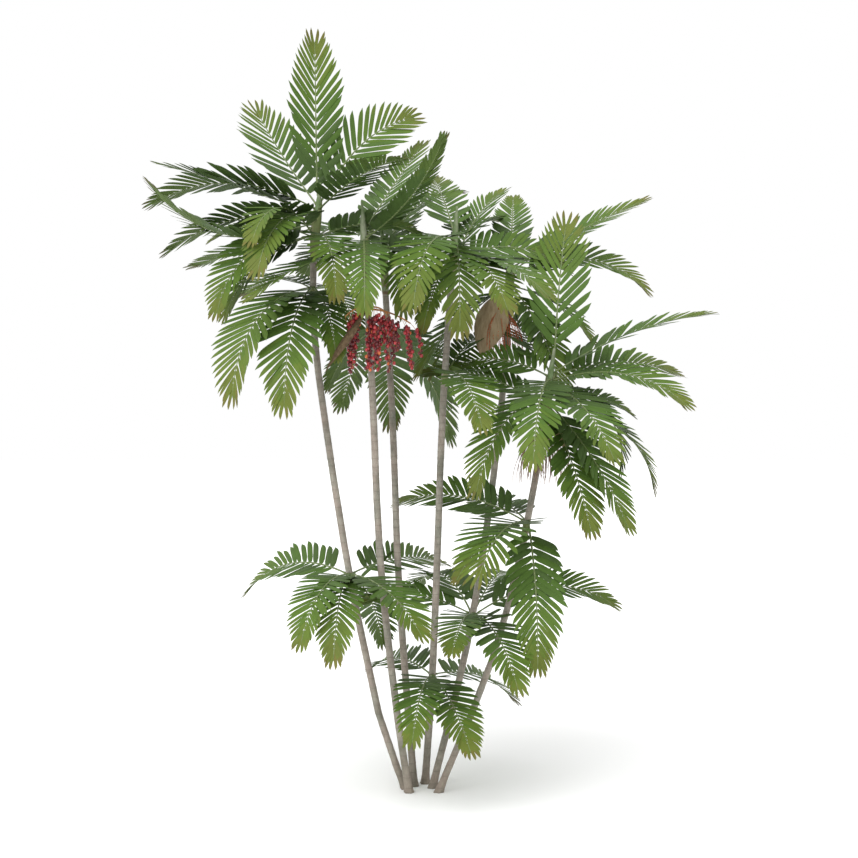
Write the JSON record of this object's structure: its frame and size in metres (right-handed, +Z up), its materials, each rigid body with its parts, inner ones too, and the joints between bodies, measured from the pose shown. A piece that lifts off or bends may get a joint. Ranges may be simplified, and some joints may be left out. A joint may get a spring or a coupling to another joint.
{
  "type": "macarthur palm",
  "caption": "Clump-forming palm: slender ringed stems leaning apart from one foot, each with a crown of feather fronds, low whorls of fronds and a hanging bunch of red fruit.",
  "frame": {"origin": "middle of the flat cut under the main stem, at ground level", "axes": "+Z up, +X to the right and +Y away when the clump is seen from its front"},
  "size_m": [4.6692, 2.9312, 6.2458],
  "materials": {
    "bark": "matte, ringed",
    "leaf": "soft sheen leaf",
    "berry": "waxy fruit",
    "strand": "dry fibre",
    "dry": "dry fibre"
  },
  "bodies": {
    "root": {"crown_1_frond_01": "leaf", "crown_1_frond_02": "leaf", "crown_1_frond_03": "leaf", "crown_1_frond_04": "leaf", "crown_1_frond_05": "leaf", "crown_1_frond_06": "leaf", "crown_1_frond_07": "leaf", "crown_1_frond_08": "leaf", "crown_1_frond_09": "leaf", "crown_1_frond_10": "leaf", "crown_2_frond_01": "leaf", "crown_2_frond_02": "leaf", "crown_2_frond_03": "leaf", "crown_2_frond_04": "leaf", "crown_3_frond_01": "leaf", "crown_3_frond_02": "leaf", "crown_3_frond_03": "leaf", "crown_4_frond_01": "leaf", "crown_4_frond_02": "leaf", "crown_4_frond_03": "leaf", "crown_4_frond_04": "leaf", "crown_4_frond_05": "leaf", "crown_5_frond_01": "leaf", "crown_5_frond_02": "leaf", "crown_5_frond_03": "leaf", "crown_5_frond_04": "leaf", "crown_5_frond_05": "leaf", "crown_6_frond_01": "leaf", "crown_6_frond_02": "leaf", "crown_6_frond_03": "leaf", "crown_6_frond_04": "leaf", "crown_6_frond_05": "leaf", "crown_6_frond_06": "leaf", "crown_6_frond_07": "leaf", "crown_6_frond_08": "leaf", "crown_6_frond_09": "leaf", "crown_6_frond_10": "leaf", "dry_bunch": "dry", "flower_bunch": "strand", "fruit_bunch": "berry", "heart_1_fronds_a": "leaf", "heart_2_fronds_a": "leaf", "heart_4_fronds_a": "leaf", "mid_4_fronds_a": "leaf", "skirt_1_fronds_a": "leaf", "skirt_1_fronds_b": "leaf", "skirt_3_fronds_a": "leaf", "skirt_5_fronds_a": "leaf", "skirt_6_fronds_a": "leaf", "stem_1": "bark", "stem_2": "bark", "stem_3": "bark", "stem_4": "bark", "stem_5": "bark", "stem_6": "bark", "whorl_1_fronds_a": "leaf", "whorl_4_fronds_a": "leaf", "whorl_5_fronds_a": "leaf", "whorl_6_fronds_a": "leaf"}
  },
  "joints": []
}
